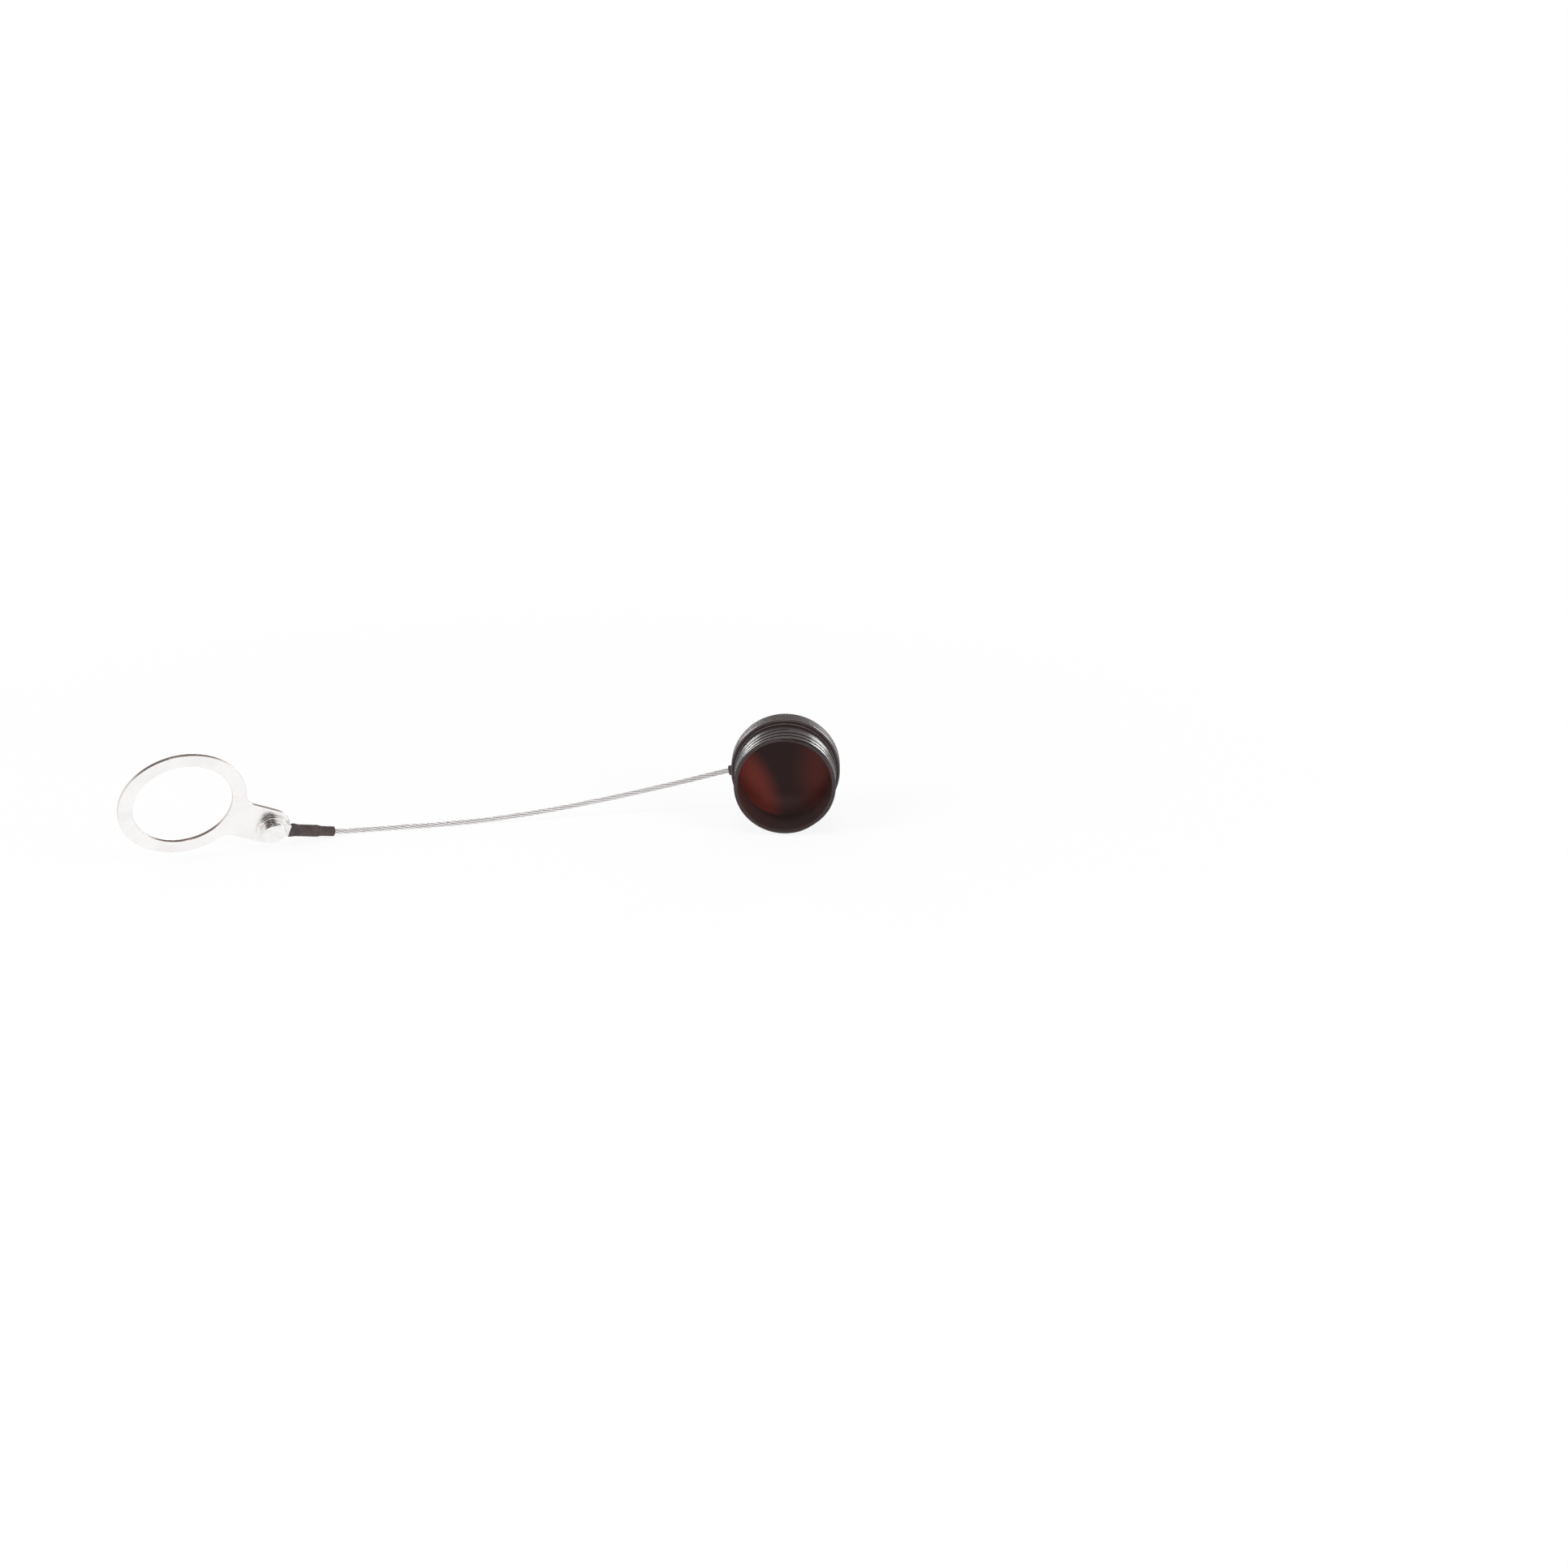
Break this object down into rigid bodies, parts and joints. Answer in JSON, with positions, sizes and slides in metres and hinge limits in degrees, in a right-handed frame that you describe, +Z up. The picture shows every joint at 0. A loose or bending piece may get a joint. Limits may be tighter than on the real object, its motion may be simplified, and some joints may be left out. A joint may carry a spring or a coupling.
{
  "type": "connector dust cap with lanyard",
  "caption": "Black knurled screw-on dust cap for a circular connector plug, tied by a short stranded wire rope with swivelling eyes to a flat ring lug.",
  "frame": {"origin": "on the surface the part lies on, under the middle of the part without its rope", "axes": "+X from the ring towards the cap, +Z up; the cap's nose faces -Y and dips a little"},
  "size_m": [0.2022, 0.0596, 0.0355],
  "materials": {
    "cap_black": "black anodised, satin",
    "rivet_steel": "turned, bright",
    "terminal_steel": "stamped, bright",
    "sleeve": "matte shrink tubing",
    "rope_steel": "stranded, bright",
    "lug_steel": "tumbled, bright"
  },
  "bodies": {
    "cap": {"cap_body": "cap_black", "cap_rivet": "rivet_steel"},
    "lanyard": {"cap_terminal": "terminal_steel", "cap_sleeve": "sleeve", "wire_rope": "rope_steel", "ring_sleeve": "sleeve", "ring_terminal": "terminal_steel"},
    "ring": {"ring_lug": "lug_steel", "ring_rivet": "rivet_steel"}
  },
  "joints": [
    {"name": "cap_swivel", "type": "hinge", "parent": "cap", "child": "lanyard", "pos_m": [0.08478, 0.02651, 0.01666], "axis": [-0.0174, -0.9987, -0.0471], "continuous": true},
    {"name": "ring_swivel", "type": "hinge", "parent": "lanyard", "child": "ring", "pos_m": [-0.06477, -0.0031, 0.0062], "axis": [0.4203, -0.8143, -0.4003], "range_deg": [-80, 110]}
  ]
}
